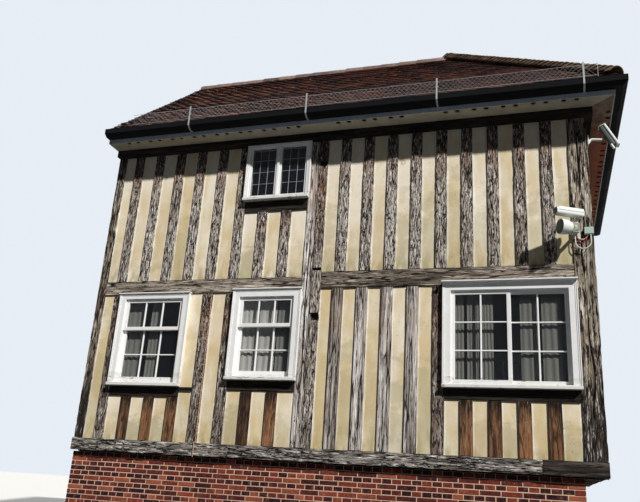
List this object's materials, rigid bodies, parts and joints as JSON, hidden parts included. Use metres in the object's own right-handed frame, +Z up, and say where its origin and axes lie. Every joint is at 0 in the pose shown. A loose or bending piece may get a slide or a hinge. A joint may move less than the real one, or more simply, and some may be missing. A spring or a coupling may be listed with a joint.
{
  "type": "half timbered house",
  "caption": "Two storey close studded timber frame house on a brick plinth, with plaster panels, white windows and a tiled roof hipped at the corner, ending at a party wall.",
  "frame": {"origin": "middle of the house's box, on the ground under the plinth", "axes": "+X to the right along the front, +Y from the front to the back, +Z up"},
  "size_m": [6.925, 5.196, 7.7075],
  "materials": {
    "brick": "rough red brick with cream mortar",
    "oak_weathered": "silver grey weathered oak with dark fissures",
    "oak_sill": "deeply fissured grey oak",
    "oak_dark": "dark brown oak",
    "softwood": "sawn boards",
    "plaster": "cream limewashed plaster",
    "white_paint": "white gloss paint on wood",
    "glass": "old window glass",
    "curtain": "pale net curtain",
    "clay_tile": "matt plain clay tiles with moss",
    "ridge_clay": "lichened clay",
    "soffit_paint": "cream paint",
    "fascia_paint": "pale grey paint",
    "gutter_iron": "black paint on iron",
    "galvanised": "galvanised",
    "camera_white": "white",
    "camera_grey": "grey",
    "box_green": "pale green grey",
    "cable_white": "white cable",
    "cable_brown": "reddish brown cable"
  },
  "bodies": {
    "root": {"front_plinth": "brick", "back_plinth": "brick", "end_plinth": "brick", "party_wall": "brick", "front_sill": "oak_sill", "new_sill": "oak_sill", "back_sill": "oak_sill", "end_sill": "oak_sill", "corner_posts": "oak_weathered", "middle_posts": "oak_weathered", "front_rails": "oak_dark", "back_rails": "oak_dark", "end_rail": "oak_dark", "long_plates": "oak_dark", "end_plate": "oak_dark", "rafter_plates": "softwood", "front_studs": "oak_weathered", "back_studs": "oak_weathered", "end_wall_studs": "oak_weathered", "front_infill": "plaster", "back_infill": "plaster", "end_infill": "plaster", "window_timbers": "oak_dark", "front_window_frames": "white_paint", "back_window_frames": "white_paint", "end_window_frames": "white_paint", "outer_sashes": "white_paint", "inner_sashes": "white_paint", "casements": "white_paint", "window_glass": "glass", "curtains": "curtain", "ground_floor": "softwood", "upper_floor": "softwood", "front_roof": "softwood", "back_roof": "softwood", "end_roof": "softwood", "front_tiles": "clay_tile", "back_tiles": "clay_tile", "end_tiles": "clay_tile", "ridge_tiles": "ridge_clay", "hip_tiles": "ridge_clay", "soffit": "soffit_paint", "fascia": "fascia_paint", "gutter": "gutter_iron", "guard_brackets": "galvanised", "guard_wires": "galvanised", "corner_camera": "camera_white", "corner_camera_bracket": "camera_grey", "camera_cables": "cable_white", "junction_box": "box_green", "eaves_camera": "camera_white", "eaves_camera_bracket": "camera_white", "stud_cable": "cable_brown"}
  },
  "joints": []
}
